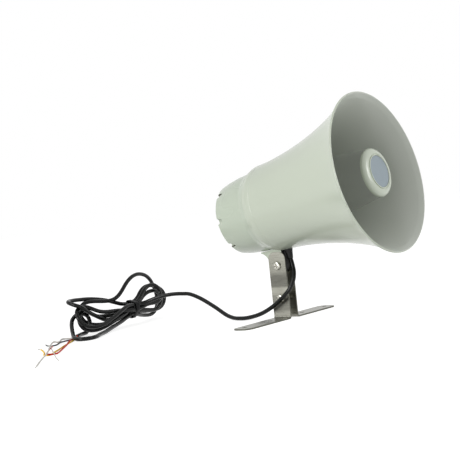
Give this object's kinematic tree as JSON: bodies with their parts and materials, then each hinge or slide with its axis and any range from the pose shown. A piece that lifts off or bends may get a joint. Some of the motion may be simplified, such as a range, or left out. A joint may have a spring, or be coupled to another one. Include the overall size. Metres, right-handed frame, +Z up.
{
  "type": "pa horn speaker",
  "caption": "Re-entrant horn loudspeaker with a flared bell, a hub in its mouth, a round driver housing, a tilting two-strap foot bracket and a coiled bare-ended cord.",
  "frame": {"origin": "bottom centre of the box round the speaker without its cord, on the plane under the bracket's feet", "axes": "+X the way the horn faces, +Y to the horn's left, +Z up"},
  "size_m": [0.4465, 0.4631, 0.2786],
  "materials": {
    "shell": "satin moulded, pale grey-green",
    "cover_shell": "satin moulded, pale grey-green",
    "disc": "satin, blank",
    "driver_plastic": "matte moulded",
    "film": "thin amber film",
    "coil_wire": "varnished winding",
    "iron": "zinc plated",
    "ferrite": "matte ceramic, modelled at the density of iron",
    "winding": "taped winding",
    "clamp_steel": "bright",
    "screw_steel": "bright",
    "strap_steel": "brushed along its length",
    "gasket": "matte",
    "jacket": "satin extruded",
    "tie": "plastic-covered wire",
    "core_red": "insulated wire",
    "core_yellow": "insulated wire",
    "core_black": "insulated wire",
    "core_white": "insulated wire"
  },
  "bodies": {
    "bracket": {"strap_near": "strap_steel", "strap_far": "strap_steel", "pivot_screw": "screw_steel", "pivot_washer": "screw_steel", "pivot_nut": "screw_steel", "lower_screw": "screw_steel", "lower_washer": "screw_steel", "lower_nut": "screw_steel", "spacer_sleeve": "screw_steel", "cord_lead": "jacket", "cord_hank": "jacket", "hank_tie": "tie", "core_red": "core_red", "core_yellow": "core_yellow", "core_black": "core_black", "core_white": "core_white"},
    "horn": {"horn_bell": "shell", "reflector_cup": "shell", "hub_cap": "shell", "throat_tube": "shell", "rear_cover": "cover_shell", "hub_disc": "disc", "driver_cover": "driver_plastic", "phase_plug": "driver_plastic", "clamp_ring": "driver_plastic", "back_plate": "iron", "top_plate": "iron", "transformer_core": "iron", "magnet_ring": "ferrite", "transformer_winding": "winding", "transformer_clamp": "clamp_steel", "hub_screw": "screw_steel", "cover_screw_1": "screw_steel", "cover_screw_2": "screw_steel", "cover_screw_3": "screw_steel", "cover_screw_4": "screw_steel", "driver_screw_1": "screw_steel", "driver_screw_2": "screw_steel", "driver_screw_3": "screw_steel", "throat_screw_1": "screw_steel", "throat_screw_2": "screw_steel", "throat_screw_3": "screw_steel", "cover_gasket": "gasket", "throat_gasket": "gasket", "cord_gland": "gasket", "inner_lead": "jacket"},
    "cone": {"diaphragm": "film", "voice_coil": "coil_wire"}
  },
  "joints": [
    {"name": "horn_tilt", "type": "hinge", "parent": "bracket", "child": "horn", "pos_m": [-0.05491, 0, 0.07], "axis": [0, -1, 0], "range_deg": [-20, 70], "deforming": ["cord_lead"]},
    {"name": "diaphragm_travel", "type": "slide", "parent": "horn", "child": "cone", "axis": [0.9816, 0, 0.1908], "range_m": [-0.00025, 0.00025], "stiffness_N_per_m": 200}
  ]
}
